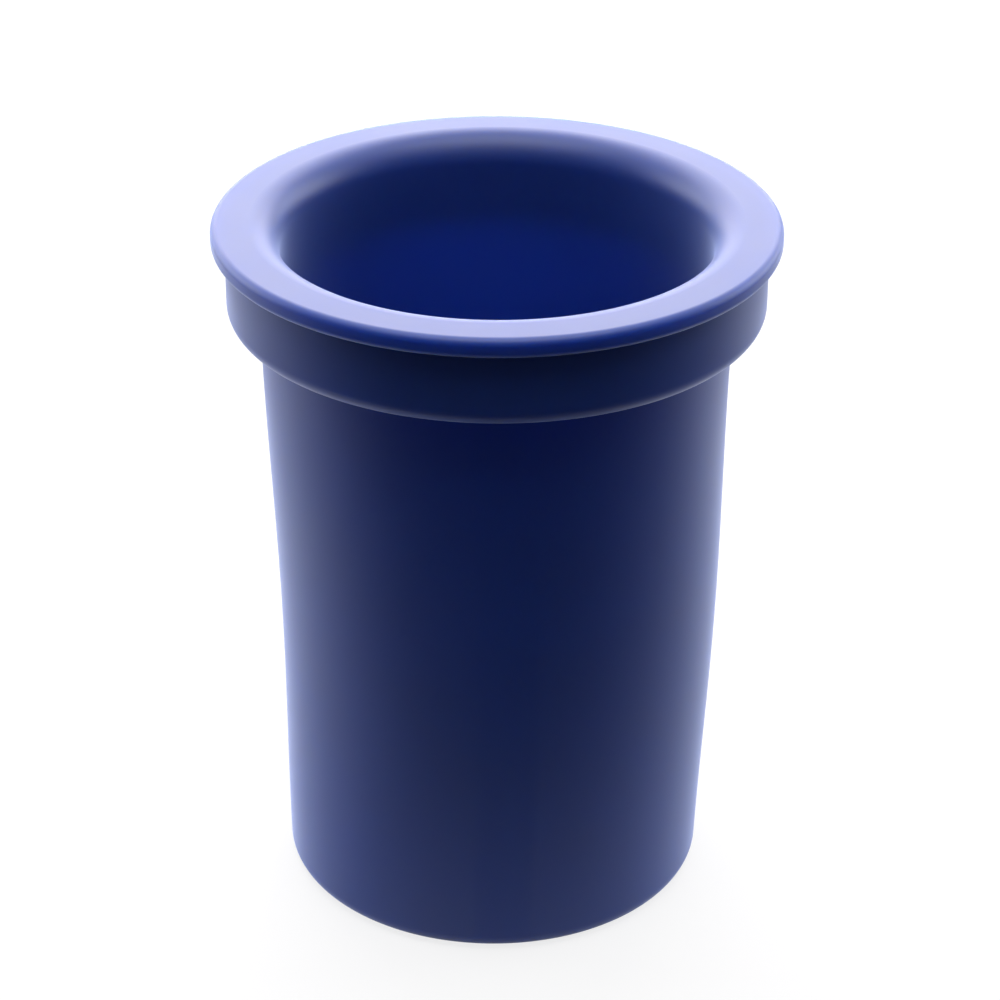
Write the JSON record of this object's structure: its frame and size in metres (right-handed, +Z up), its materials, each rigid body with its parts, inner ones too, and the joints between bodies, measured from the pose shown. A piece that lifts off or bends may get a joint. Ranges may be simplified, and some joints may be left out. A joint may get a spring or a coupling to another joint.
{
  "type": "silicone cup",
  "caption": "Tapered round silicone cup with a wide flat flange and a bell mouth, and a push-on collar ring that seats under the flange.",
  "frame": {"origin": "centre of the flat base, on the surface that the cup stands on", "axes": "+Z up along the cup's axis, towards the mouth; the cup is round, so X and Y are free"},
  "size_m": [0.084, 0.084, 0.108],
  "materials": {
    "silicone_cup": "dark blue silicone rubber, fine matte moulded skin, a little light shines through thin walls",
    "silicone_collar": "dark blue silicone rubber, fine matte moulded skin"
  },
  "bodies": {
    "cup": {"cup": "silicone_cup"},
    "collar_ring": {"collar_ring": "silicone_collar"}
  },
  "joints": [
    {"name": "collar_slide", "type": "slide", "parent": "cup", "child": "collar_ring", "axis": [0, 0, -1], "range_m": [0, 0.0935]}
  ]
}
